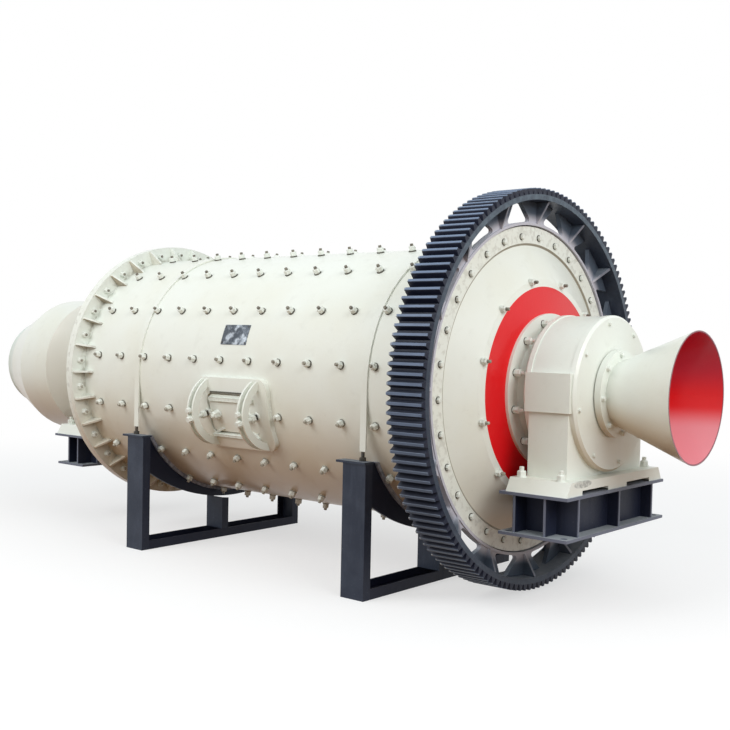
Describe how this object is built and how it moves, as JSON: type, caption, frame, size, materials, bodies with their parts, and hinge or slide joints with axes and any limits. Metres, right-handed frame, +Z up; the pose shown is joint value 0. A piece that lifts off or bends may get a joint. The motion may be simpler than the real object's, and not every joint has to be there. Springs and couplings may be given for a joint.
{
  "type": "ball mill",
  "caption": "Horizontal ball mill: bolted drum with manhole, girth gear, trunnion bearings on pedestals, drum feeder and discharge trumpet, strapped on two transport stands.",
  "frame": {"origin": "on the ground under the middle of the mill's length, in the mill's vertical middle plane", "axes": "+X along the mill's axis towards the discharge trumpet, +Z up, the manhole on the -Y side"},
  "size_m": [5.573, 2.124, 2.142],
  "materials": {
    "cream_paint": "gloss paint",
    "slate_paint": "semi-gloss paint",
    "red_paint": "gloss paint",
    "bare_steel": "dull steel"
  },
  "bodies": {
    "frame": {"feed_bearing_base": "cream_paint", "feed_bearing_cap": "cream_paint", "feed_bearing_outer_disc": "cream_paint", "feed_bearing_inner_disc": "cream_paint", "feed_pedestal": "slate_paint", "feed_stand_posts": "slate_paint", "feed_stand_beam": "slate_paint", "feed_stand_web": "slate_paint", "feed_stand_saddle": "cream_paint", "feed_stand_caps": "slate_paint", "feed_strap": "cream_paint", "feed_strap_rods": "bare_steel", "discharge_bearing_base": "cream_paint", "discharge_bearing_cap": "cream_paint", "discharge_bearing_outer_disc": "cream_paint", "discharge_bearing_inner_disc": "cream_paint", "discharge_pedestal": "slate_paint", "discharge_stand_posts": "slate_paint", "discharge_stand_beam": "slate_paint", "discharge_stand_web": "slate_paint", "discharge_stand_saddle": "cream_paint", "discharge_stand_caps": "slate_paint", "discharge_strap": "cream_paint", "discharge_strap_rods": "bare_steel"},
    "drum": {"shell": "cream_paint", "feed_flange": "cream_paint", "feed_gussets": "cream_paint", "discharge_flange": "cream_paint", "girth_gear": "slate_paint", "manhole_frame": "cream_paint", "manhole_door": "cream_paint", "manhole_bow_feed": "cream_paint", "manhole_bow_discharge": "cream_paint", "feed_end_cover": "cream_paint", "feed_trunnion": "cream_paint", "feed_hub": "cream_paint", "feeder_root": "cream_paint", "feeder_drum": "cream_paint", "feeder_mouth": "cream_paint", "discharge_end_cover": "cream_paint", "discharge_trunnion": "cream_paint", "discharge_hub": "cream_paint", "discharge_trumpet": "cream_paint"}
  },
  "joints": [
    {"name": "drum_spin", "type": "hinge", "parent": "frame", "child": "drum", "pos_m": [0, 0, 1.08], "axis": [1, 0, 0], "continuous": true}
  ]
}
